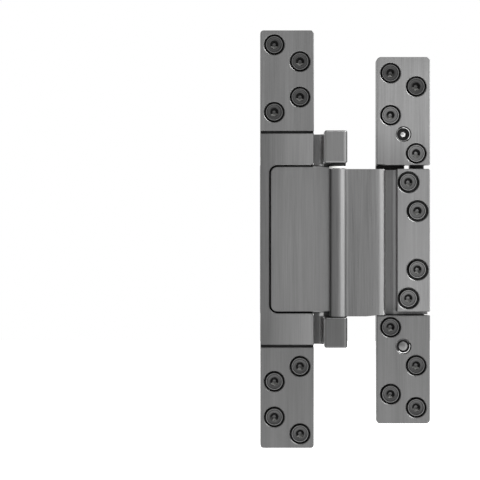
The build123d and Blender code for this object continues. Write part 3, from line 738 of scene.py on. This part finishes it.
@dataclass(frozen=True)
class GrubScrew:
    """Headless screw, in millimetres, its front at zero along the axis.

    A bright land runs round its front, and the thread leads in behind it.
    """

    front: Front = Front.SOCKET
    radius: float = 4.0
    socket_apothem: float = 2.0
    socket_depth: float = 1.3
    floor_point: float = 0.4
    floor_dome: float = 0.35
    floor_radius: float = 1.36
    floor_rise: float = 0.2
    mouth_depth: float = 0.35
    mouth_chamfer: float = 0.45
    plug_point: float = 0.25
    plug_flat: float = 2.0
    plug_crown: float = 0.05
    plug_radius: float = 2.5
    plug_edge: float = 0.35
    plug_height: float = 1.2
    land: float = 0.15
    lead_width: float = 0.2
    lead_depth: float = 0.3
    tail: float = 0.4
    tail_chamfer: float = 0.3
    tail_narrowing: float = 0.5
    thread_depth: float = 0.45
    pitch: float = 1.25
    rings_per_pitch: int = 5

    def front_rings(self) -> list[Ring]:
        """Rings from the axis out to the thread's root, the last one where the thread starts.

        Returns:
            The rings in profile order.
        """
        root, depth, socket = self.radius - self.thread_depth, self.socket_depth, self.socket_apothem
        # The oxide bands on the plug's side, in the socket and on the thread's lead are black oxide and also
        # painted shadow in the hole's mouth.
        if self.front is Front.PLUG:
            level = self.plug_height
            made = [
                Ring(self.plug_point, 0.0),
                Ring(self.plug_flat, self.plug_crown),
                Ring(self.plug_radius, self.plug_edge),
                Ring(self.plug_radius, level, coat=Coat.OXIDE_AND_PAINTED_SHADOW),
            ]
        else:
            level = 0.0
            made = [
                Ring(self.floor_point, depth - self.floor_dome),
                Ring(self.floor_radius, depth, Section.HEXAGON),
                Ring(socket, depth - self.floor_rise, Section.HEXAGON, coat=Coat.OXIDE_AND_PAINTED_SHADOW),
                Ring(socket, self.mouth_depth, Section.HEXAGON, coat=Coat.OXIDE_AND_PAINTED_SHADOW),
                Ring(socket + self.mouth_chamfer, level, coat=Coat.OXIDE_AND_PAINTED_SHADOW),
            ]
        return made + [
            Ring(root, level, coat=Coat.OXIDE_AND_PAINTED_SHADOW),
            Ring(root + self.land, level),
            Ring(root + self.lead_width, level + self.lead_depth, coat=Coat.OXIDE_AND_PAINTED_SHADOW),
        ]

    def rings(self, length: float) -> list[Ring]:
        """All rings of a grub screw.

        Args:
            length: Length in millimetres.

        Returns:
            The rings in profile order.
        """
        made = self.front_rings()
        start, step = made[-1].along, self.pitch / self.rings_per_pitch
        for index in range(1, int((length - start - self.tail) / step)):
            along = start + index * step
            made.append(Ring(self.radius, along, thread_depth=self.thread_depth, coat=Coat.OXIDE_AND_PAINTED_SHADOW))
        root = self.radius - self.thread_depth
        return made + [Ring(root, length - self.tail_chamfer), Ring(root - self.tail_narrowing, length)]


@dataclass(frozen=True)
class ThreadArc:
    """Stretch of a thread that shows in a hole's mouth, in millimetres and degrees.

    It starts clockwise from the right and runs counterclockwise, deeper as it goes.
    """

    radius: float
    depth: float
    ridge: float
    start: float
    sweep: float
    deeper: float = 0.25

    def inputs(self, finish: Material) -> dict:
        """Inputs of the coil tree for this stretch.

        Args:
            finish: Material of the stretch.

        Returns:
            Values by the inputs' names.
        """
        sizes = {"Radius": self.radius, "Height": self.deeper, "Ridge": self.ridge}
        angles = {"Turns": self.sweep / 360, "Start": math.radians(self.start)}
        return {**{name: size * MM for name, size in sizes.items()}, **angles, "Finish": finish}


@dataclass(frozen=True)
class Span:
    """Box of one solid of a CAD node, in metres."""

    low: Vector
    high: Vector

    @property
    def axis_front(self) -> Vector:
        """Point on the solid's Y axis at its foremost face."""
        return Vector(((self.low.x + self.high.x) / 2, self.low.y, (self.low.z + self.high.z) / 2))

    @property
    def length_mm(self) -> float:
        """Length along Y in millimetres."""
        return (self.high.y - self.low.y) / MM


def spans(node: str) -> list[Span]:
    """Boxes of the separate solids in a CAD node, such as the screws of one row.

    Args:
        node: Name of the node.

    Returns:
        One span for each solid, from the top down.
    """
    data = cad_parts[node].data
    keys = [tuple(round(value / SAME_PLACE) for value in vertex.co) for vertex in data.vertices]
    root = {key: key for key in keys}

    def find(key: tuple[int, ...]) -> tuple[int, ...]:
        """Corner that stands for a key's solid.

        Args:
            key: Rounded place of a corner.

        Returns:
            Rounded place of the corner that stands for its solid.
        """
        while root[key] != key:
            root[key] = root[root[key]]
            key = root[key]
        return key

    for edge in data.edges:
        first, second = (find(keys[index]) for index in edge.vertices)
        root[first] = second
    groups: dict[tuple[int, ...], list[Vector]] = {}
    for key, vertex in zip(keys, data.vertices):
        groups.setdefault(find(key), []).append(vertex.co)
    found = []
    for points in groups.values():
        low, high = (Vector([edge(p[axis] for p in points) for axis in range(3)]) for edge in (min, max))
        found.append(Span(low, high))
    return sorted(found, key=lambda span: -span.low.z)


def bore_radius(node: str) -> float:
    """Bore radius of a ring-shaped CAD node.

    Args:
        node: Name of the node.

    Returns:
        The radius in metres.
    """
    low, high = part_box(node)
    centre = (low + high) / 2
    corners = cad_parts[node].data.vertices
    return min(math.hypot(v.co.x - centre.x, v.co.y - centre.y) for v in corners)


def seat(piece: Piece, body: str, node: str | None) -> None:
    """Let a finished piece ride on a body, and stand for a node if one is named.

    Args:
        piece: The piece.
        body: CAD body that it rides on.
        node: CAD node that it replaces, or None.
    """
    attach(piece, body)
    if node:
        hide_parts(node)
    LOG.info("made %s with %d faces on %s", piece.name, len(piece.data.polygons), body)


# Painted light and shade on the knuckle leaf: its panel's closed edge is painted dark and the one at the
# barrel bright.
# The necks are painted dull by the body with a painted highlight up to the ears; the lower ear and the leaf's
# lower end are painted darker.
PANEL_END, EAR_END = 41.2, 60.0
PANEL_SHADE_AND_HIGHLIGHT = ((-10.0, 0.88), (2.0, 1.0), (20.5, 1.0), (23.0, 1.3), (24.4, 1.3))
UPPER_NECK_SHADE_AND_HIGHLIGHT = ((17.0, 0.72), (18.0, 0.9), (18.8, 2.6), (20.6, 5.0), (20.8, 1.0))
LOWER_NECK_SHADE_AND_HIGHLIGHT = ((17.0, 0.44), (18.0, 0.62), (18.8, 2.6), (20.6, 5.2), (20.8, 0.61))
FORGED_PAINTED_LIGHT_AND_SHADE = (
    PaintedTones("X", PANEL_SHADE_AND_HIGHLIGHT, heights=(-PANEL_END, PANEL_END)),
    PaintedTones("X", UPPER_NECK_SHADE_AND_HIGHLIGHT, heights=(PANEL_END, EAR_END)),
    PaintedTones("X", LOWER_NECK_SHADE_AND_HIGHLIGHT, heights=(-EAR_END, -PANEL_END)),
    PaintedTones("Z", ((-42.0, 0.92), (0.0, 1.0))),
)
# Painted highlights on the barrel, up to 34 mm, and the bend, at 54 mm, where they turn towards the light;
# painted shade on the flange, with a painted highlight at its edge, and the arm painted lighter towards the
# top.
BARREL_SHADE_AND_HIGHLIGHT = ((23.0, 0.72), (27.6, 0.78), (29.2, 1.15), (33.0, 1.3), (34.2, 0.9))
BEND_HIGHLIGHT = ((50.0, 1.1), (52.2, 1.05), (53.2, 1.3), (53.9, 3.0), (54.5, 4.0))
FLANGE_SHADE_AND_HIGHLIGHT = ((54.7, 0.8), (59.6, 0.8), (61.0, 1.9))
ARM_PAINTED_LIGHT_AND_SHADE = (PaintedTones("X", BARREL_SHADE_AND_HIGHLIGHT + BEND_HIGHLIGHT + FLANGE_SHADE_AND_HIGHLIGHT), PaintedTones("Z", ((-43.0, 0.9), (43.0, 1.15))))
# Painted shade: the body's left edge, the frame's lower plate, the inner ends of the door's plates, the
# door's upper plate at its lower and upper ends and the lower tongue screws are painted darker, and the body
# lighter towards the top.
BODY_PAINTED_LIGHT_AND_SHADE = (PaintedTones("X", ((-14.0, 0.54), (12.0, 1.0))), PaintedTones("Z", ((-59.0, 0.93), (59.0, 1.07))))
DOOR_PLATE_PAINTED_LIGHT_AND_SHADE = (
    PaintedTones("Z", ((44.0, 0.74), (62.0, 0.98), (92.0, 1.0), (102.0, 0.9))),
    PaintedTones("X", ((50.0, 0.92), (80.0, 1.04))),
)
LOWER_PLATE_PAINTED_SHADE = (PaintedTones("X", ((14.0, 0.86), (50.0, 0.98))),)
TONGUE_SCREW_PAINTED_SHADE = (PaintedTones("Z", ((-45.0, 0.45), (45.0, 1.0))),)


# Length down a fixing screw's profile at which its raised rim begins.
RIM = LowHeadScrew().rim_start()


class Look(Enum):
    """Finish of every surface, each named for the real material."""

    # Stainless steel, brushed upright on a belt: satin greys with dull streaks. The pieces were brushed one
    # by one, so each has its own grey, and the arm is the glossiest; the door's upper plate is painted
    # lighter, as if lit from above.
    ARM = BrushedSteel("satin_brushed_arm_steel", "#737373", "#616161", roughness=0.3, tones=ARM_PAINTED_LIGHT_AND_SHADE)
    BODY = BrushedSteel("satin_brushed_body_steel", "#7d7d7d", "#6d6d6d", tones=BODY_PAINTED_LIGHT_AND_SHADE)
    BLOCK = BrushedSteel("satin_brushed_block_steel", "#808080", "#717171")
    FRAME_PLATE = BrushedSteel("satin_brushed_frame_plate_steel", "#707070", "#636363")
    LOWER_PLATE = BrushedSteel("satin_brushed_lower_plate_steel", "#6a6a6a", "#5c5c5c", tones=LOWER_PLATE_PAINTED_SHADE)
    # Forged steel, ground and brushed: the same satin, a little closer.
    FORGED = BrushedSteel("forged_and_brushed_steel", "#737373", "#656565", roughness=0.4, tones=FORGED_PAINTED_LIGHT_AND_SHADE)
    # Painted light: the door's upper plate is a lighter copy of the lower plates' steel, as if lit from
    # above.
    PAINTED_LIGHTER_DOOR_PLATE = BrushedSteel("satin_brushed_door_plate_steel_painted_lighter", "#8e8e8e", "#7b7b7b", tones=DOOR_PLATE_PAINTED_LIGHT_AND_SHADE)
    # Black oxide on the screws' edges and grooves, near black with hardly a shine, which also stands in for
    # the shadow round the heads and in the adjusters' sockets and mouths.
    OXIDE_AND_PAINTED_SHADOW = Speckled("black_oxide_screw_steel_and_painted_shadow", "#0a0a0a", "#050505", roughness=0.5, shine=0.15)
    # Phosphated sockets: dull black, which also stands in for the shade deep in each socket, with painted
    # light on the walls that look up.
    PHOSPHATE_WITH_PAINTED_SHADE_AND_LIGHT = Speckled(
        "phosphated_steel_painted_shade_and_light", "#1c1c1c", "#0c0c0c", roughness=0.6, shine=0.1, painted_top_light="#8a8a88"
    )
    # Painted glint: thread crests in the adjusters' mouths, near white where the light catches them.
    PAINTED_THREAD_GLINT = Speckled("thread_crest_painted_glint", "#e0e0e0", "#c2c2c2", roughness=0.3, metallic=1.0)
    # Screw steel turned on a lathe, from nearly black with oxide to plain: fine rings and a rubbed rim.
    DARK_SCREW = TurnedSteel(
        "oxidised_turned_screw_steel", "#525252", "#2c2c2c", worn="#666666", worn_from_mm=RIM
    )
    PLAIN_SCREW = TurnedSteel("plain_turned_screw_steel", "#747474", "#5a5a5a", worn_from_mm=RIM)
    BLOCK_SCREW = TurnedSteel(
        "dull_turned_screw_steel", "#626262", "#4a4a4a", worn="#7e7e7e", worn_from_mm=RIM
    )
    TONGUE_SCREW = TurnedSteel(
        "half_oxidised_turned_screw_steel", "#6e6e6e", "#555555", worn_from_mm=RIM, tones=TONGUE_SCREW_PAINTED_SHADE
    )
    # Ground steel of pin and adjuster: the lightest and smoothest metal.
    BRIGHT = TurnedSteel("ground_bright_steel", "#b8b8b8", "#9a9a9a", worn="#a8a8a8", roughness=0.22)
    # Black oxide on plates and washers: a little lighter and shinier than on the screws.
    BLACK_STEEL = Speckled("black_oxide_steel", "#151515", "#0b0b0b", roughness=0.5, shine=0.2)
    # Moulded plastics: the spacers matt black, the slide washer off-white with a soft gloss.
    BLACK_PLASTIC = Speckled("black_moulded_plastic", "#060606", "#030303", roughness=0.6, shine=0.1)
    WHITE_PLASTIC = Speckled("white_moulded_acetal", "#f4f4f1", "#e6e6e2", roughness=0.4)
    # Sintered bronze: warm brown metal with an open speckle.
    BRONZE = Speckled("sintered_bronze", "#b48a52", "#8f6a3b", roughness=0.42, metallic=1.0)


class Workshop:
    """The finishes and trees that all sub-assemblies share."""

    def __init__(self) -> None:
        """Make every finish and tree once."""
        self.material = {look: look.value.material() for look in Look}
        self.screw_row = screw_row_tree()
        self.ring = ring_tree()
        self.coil = coil_tree()

    def dress(self, look: Look, *nodes: str) -> None:
        """Give CAD nodes a finish.

        Args:
            look: The finish.
            nodes: Names of the nodes.
        """
        for node in nodes:
            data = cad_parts[node].data
            data.materials.clear()
            data.materials.append(self.material[look])
            LOG.info("dressed %s in %s", node, look.value.name)

    def place_screws(
        self, node: str, screw: LowHeadScrew | GrubScrew, look: Look, slot: str, body: str, seed: int
    ) -> None:
        """Put a fine screw in the place of each screw of a CAD node.

        Args:
            node: CAD node that they replace.
            screw: Sizes of the screws.
            look: Finish of their bright and grey faces.
            slot: Not used.
            body: CAD body that they ride on.
            seed: Seed of their angles.
        """
        name, places = node + "_fine", spans(node)
        mesh = turned_mesh(node + "_one", screw.rings(places[0].length_mm), pitch=screw.pitch)
        template = bpy.data.objects.new(name + "_template", mesh)
        bpy.context.scene.collection.objects.link(template)
        points = points_mesh(name + "_points", [span.axis_front for span in places])
        looks = {"Finish": look, "Oxide_And_Painted_Shadow": Look.OXIDE_AND_PAINTED_SHADOW, "Socket": Look.PHOSPHATE_WITH_PAINTED_SHADE_AND_LIGHT}
        finishes = {label: self.material[worn] for label, worn in looks.items()}
        values = {"Screw": template, "Turn Seed": seed, **finishes}
        piece = grown(name, points, self.screw_row, values)
        bpy.data.objects.remove(template)
        bpy.data.meshes.remove(mesh)
        seat(piece, body, node)

    def turn_ring(self, node: str, look: Look, slot: str, body: str, edge_round: float) -> None:
        """Turn a washer or bush with rounded edges in place of its CAD node.

        Args:
            node: CAD node that gives the ring's size and place.
            look: Finish of the ring.
            slot: Not used.
            body: CAD body that it rides on.
            edge_round: Radius of its edges in millimetres.
        """
        low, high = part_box(node)
        outer, inner = (high.x - low.x) / 2, bore_radius(node)
        values = {
            "Middle Radius": (outer + inner) / 2,
            "Wall": outer - inner,
            "Height": high.z - low.z,
            "Edge Round": edge_round * MM,
            "Finish": self.material[look],
        }
        piece = grown(node + "_ring", points_mesh(node + "_point", [(low + high) / 2]), self.ring, values)
        shade(piece.data)
        seat(piece, body, node)


@dataclass
class FrameLeaf:
    """Frame side: body, end plates, spacer strips and their screws."""

    workshop: Workshop
    screw: LowHeadScrew = LowHeadScrew()
    body: str = "frame_leaf"

    def build(self) -> None:
        """Dress the plates and put in the fine screws."""
        shop = self.workshop
        shop.dress(Look.BODY, "frame_body")
        shop.dress(Look.FRAME_PLATE, "frame_upper_plate")
        shop.dress(Look.LOWER_PLATE, "frame_lower_plate")
        shop.dress(Look.BLACK_PLASTIC, "frame_upper_shim", "frame_lower_shim")
        shop.dress(Look.BRIGHT, "frame_lap_screws")
        shop.dress(Look.BLACK_STEEL, "knuckle_clamp_screws")
        shop.place_screws("frame_fixing_screws", self.screw, Look.DARK_SCREW, "dark_screw", self.body, 11)


@dataclass
class PinStack:
    """Knuckle leaf, hinge pin and the washers round it."""

    workshop: Workshop
    edge_round_mm: float = 0.12
    body: str = "frame_leaf"

    def build(self) -> None:
        """Dress leaf and pin, and make the washers."""
        shop = self.workshop
        shop.dress(Look.FORGED, "knuckle_leaf")
        shop.dress(Look.BRIGHT, "hinge_pin")
        shop.dress(Look.BLACK_STEEL, "pin_lock_screws")
        for node, look, slot in (
            ("upper_spacer_washer", Look.BLACK_STEEL, "dark_washer"),
            ("upper_slide_washer", Look.WHITE_PLASTIC, "white_plastic"),
            ("lower_slide_washer", Look.BLACK_STEEL, "dark_washer"),
        ):
            shop.turn_ring(node, look, slot, self.body, self.edge_round_mm)


@dataclass
class Arm:
    """Cranked arm with its barrel and bushes."""

    workshop: Workshop
    edge_round_mm: float = 0.1
    body: str = "arm"

    def build(self) -> None:
        """Dress the arm and turn its bushes."""
        shop = self.workshop
        shop.dress(Look.ARM, "door_arm")
        for node in ("upper_bush", "lower_bush"):
            shop.turn_ring(node, Look.BRONZE, "bronze", self.body, self.edge_round_mm)


@dataclass
class DoorLeaf:
    """Door side: clamp block, hidden base, end plates and their screws."""

    workshop: Workshop
    screw: LowHeadScrew = LowHeadScrew(plain_shank=4.0)
    body: str = "door_leaf"
    upper_adjuster: GrubScrew = GrubScrew()
    lower_adjuster: GrubScrew = GrubScrew(Front.PLUG)
    upper_crest: ThreadArc = ThreadArc(3.72, 0.5, 0.3, 50.0, 150.0)
    upper_root: ThreadArc = ThreadArc(4.35, 0.42, 0.4, 60.0, 190.0, 0.0)
    lower_crest: ThreadArc = ThreadArc(3.72, 0.5, 0.3, 135.0, 150.0)
    lower_root: ThreadArc = ThreadArc(4.35, 0.42, 0.4, 105.0, 130.0, 0.0)

    def build(self) -> None:
        """Dress the plates and put in screws, adjusters and their threads."""
        shop = self.workshop
        shop.dress(Look.PAINTED_LIGHTER_DOOR_PLATE, "door_upper_plate")
        shop.dress(Look.LOWER_PLATE, "door_lower_plate")
        shop.dress(Look.BLOCK, "door_clamp_block")
        shop.dress(Look.BLACK_STEEL, "door_base_plate")
        for node, screw, look, slot, seed in (
            ("door_fixing_screws", self.screw, Look.DARK_SCREW, "dark_screw", 23),
            ("door_tongue_screws", self.screw, Look.TONGUE_SCREW, "plain_screw", 37),
            ("door_block_screws", self.screw, Look.BLOCK_SCREW, "plain_screw", 41),
            ("upper_adjuster_screw", self.upper_adjuster, Look.BRIGHT, "bright_pin", 53),
            ("lower_adjuster_screw", self.lower_adjuster, Look.PLAIN_SCREW, "bright_pin", 59),
        ):
            shop.place_screws(node, screw, look, slot, self.body, seed)
        # Painted glint and shadow: near-white crest stretches where the light catches the thread, and black
        # root stretches for the shadow in each mouth.
        for side, crest, root in (
            ("upper", self.upper_crest, self.upper_root),
            ("lower", self.lower_crest, self.lower_root),
        ):
            self.show_thread(side, crest, "crest", Look.PAINTED_THREAD_GLINT)
            self.show_thread(side, root, "root", Look.OXIDE_AND_PAINTED_SHADOW)

    def show_thread(self, side: str, arc: ThreadArc, ending: str, look: Look) -> None:
        """Wind one stretch of thread into the mouth in front of an adjuster.

        Args:
            side: Which of the two adjusters, upper or lower.
            arc: Sizes and place of the stretch.
            ending: Ending of the piece's name.
            look: Finish of the stretch.
        """
        node = side + "_adjuster_screw"
        name = node + "_" + ending
        mouth = spans(node)[0].axis_front
        plate = "door_" + side + "_plate"
        mouth.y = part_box(plate)[0].y + arc.depth * MM
        values = arc.inputs(self.workshop.material[look])
        piece = grown(name, points_mesh(name + "_point", [mouth]), self.workshop.coil, values)
        seat(piece, self.body, None)


def background_rays(tree: Tree) -> Socket:
    """One for the rays that see the white background: the camera's, and those in metal and glass.

    Args:
        tree: Tree of the world or the floor.

    Returns:
        1 for these rays and 0 for all others.
    """
    rays = add_node(tree, "ShaderNodeLightPath").outputs
    mirrored = {0: rays["Is Camera Ray"], 1: rays["Is Glossy Ray"]}
    seen = add_node(tree, "ShaderNodeMath", mirrored, operation="MAXIMUM")
    through = {0: seen.outputs[0], 1: rays["Is Transmission Ray"]}
    return add_node(tree, "ShaderNodeMath", through, operation="MAXIMUM").outputs[0]


@dataclass(frozen=True)
class Lamp:
    """One soft rectangular lamp: its centre, width and height in metres, and its power in watts."""

    name: str
    place: Triple
    size: tuple[float, float]
    power: float

    def hang(self, target: Triple) -> None:
        """Put the lamp up.

        Args:
            target: Point that it faces, in metres.
        """
        light = bpy.data.lights.new(self.name, "AREA")
        light.shape = "RECTANGLE"
        light.size, light.size_y = self.size
        light.energy = self.power
        lamp = bpy.data.objects.new(self.name, light)
        lamp.location = self.place
        aim = Vector(target) - Vector(self.place)
        lamp.rotation_euler = aim.to_track_quat("-Z", "Y").to_euler()
        bpy.context.scene.collection.objects.link(lamp)


@dataclass
class Studio:
    """Camera, lamps, world and floor, in metres.

    The camera aims at one point and the lamps at another, near the middle of the hinge.
    """

    target: Triple = (-0.0264, -0.020, -0.00045)
    lit: Triple = (0.03, -0.02, 0.0)
    distance: float = 0.9
    view_width: float = 0.2688
    sensor_mm: float = 36.0
    floor_drop: float = 0.13
    floor_size: float = 6.0
    floor_colour: str = "#efefef"
    floor_roughness: float = 0.8
    world_level: float = 0.62
    world_right: float = 0.30
    world_up: float = 0.16
    lamps: tuple[Lamp, ...] = (
        Lamp("side_softbox", (0.86, -0.58, 0.2), (1.1, 1.1), 5.2),
        Lamp("top_softbox", (0.15, -0.6, 0.85), (0.5, 0.4), 3.0),
        Lamp("corner_strip", (0.75, -0.12, 0.75), (0.35, 0.6), 13.0),
        Lamp("rim_strip", (0.95, 0.3, 0.15), (0.3, 0.8), 4.0),
    )

    def build(self) -> None:
        """Set up all that stands round the object."""
        self.camera()
        self.world()
        self.floor()
        for lamp in self.lamps:
            lamp.hang(self.lit)
        bpy.context.scene.view_settings.view_transform = "Standard"

    def camera(self) -> None:
        """Camera square to the front, as in the photograph."""
        lens = bpy.data.cameras.new("photo_camera")
        lens.sensor_width = self.sensor_mm
        lens.lens = self.sensor_mm * self.distance / self.view_width
        seen = bpy.data.objects.new("photo_camera", lens)
        seen.location = (self.target[0], self.target[1] - self.distance, self.target[2])
        seen.rotation_euler = (math.pi / 2, 0.0, 0.0)
        bpy.context.scene.collection.objects.link(seen)
        bpy.context.scene.camera = seen

    def world(self) -> None:
        """White to the camera, and a soft grey room, lighter above and to the right, to everything else."""
        room = bpy.data.worlds.new("studio_world")
        room.use_nodes = True
        tree = room.node_tree
        tree.nodes.clear()
        way = add_node(tree, "ShaderNodeTexCoord").outputs["Generated"]
        split = add_node(tree, "ShaderNodeSeparateXYZ", {"Vector": way})
        rightward = {0: split.outputs["X"], 1: self.world_right, 2: self.world_level}
        right = add_node(tree, "ShaderNodeMath", rightward, operation="MULTIPLY_ADD")
        upward = {0: split.outputs["Z"], 1: self.world_up, 2: right.outputs[0]}
        above = add_node(tree, "ShaderNodeMath", upward, operation="MULTIPLY_ADD")
        soft = add_node(tree, "ShaderNodeBackground", {"Color": WHITE, "Strength": above.outputs[0]})
        white = add_node(tree, "ShaderNodeBackground", {"Color": WHITE, "Strength": 1.0})
        both = {0: background_rays(tree), 1: soft.outputs[0], 2: white.outputs[0]}
        mix = add_node(tree, "ShaderNodeMixShader", both)
        add_node(tree, "ShaderNodeOutputWorld", {"Surface": mix.outputs[0]})
        bpy.context.scene.world = room

    def floor(self) -> None:
        """Plain pale floor below the object, white to the camera but for the object's shadow."""
        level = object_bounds()[0].z - self.floor_drop
        half = self.floor_size / 2
        data = bpy.data.meshes.new("floor")
        corners = [(x * half, y * half, level) for x, y in ((-1, -1), (1, -1), (1, 1), (-1, 1))]
        data.from_pydata(corners, [], [(0, 1, 2, 3)])
        made, tree, shader = new_material("painted_floor")
        shader.inputs["Base Color"].default_value = linear(self.floor_colour)
        shader.inputs["Roughness"].default_value = self.floor_roughness
        glow = add_node(tree, "ShaderNodeEmission", {"Color": WHITE, "Strength": background_rays(tree)})
        both = add_node(tree, "ShaderNodeAddShader", {0: shader.outputs[0], 1: glow.outputs[0]})
        tree.links.new(both.outputs[0], tree.nodes["Material Output"].inputs["Surface"])
        data.materials.append(made)
        piece = bpy.data.objects.new("floor", data)
        bpy.context.scene.collection.objects.link(piece)
        piece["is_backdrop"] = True


def main() -> None:
    """Build the looks of the hinge in order."""
    logging.basicConfig(level=logging.INFO, format="%(message)s")
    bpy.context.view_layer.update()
    Studio().build()
    workshop = Workshop()
    for part in (FrameLeaf(workshop), PinStack(workshop), Arm(workshop), DoorLeaf(workshop)):
        part.build()


if __name__ == "__main__":
    main()
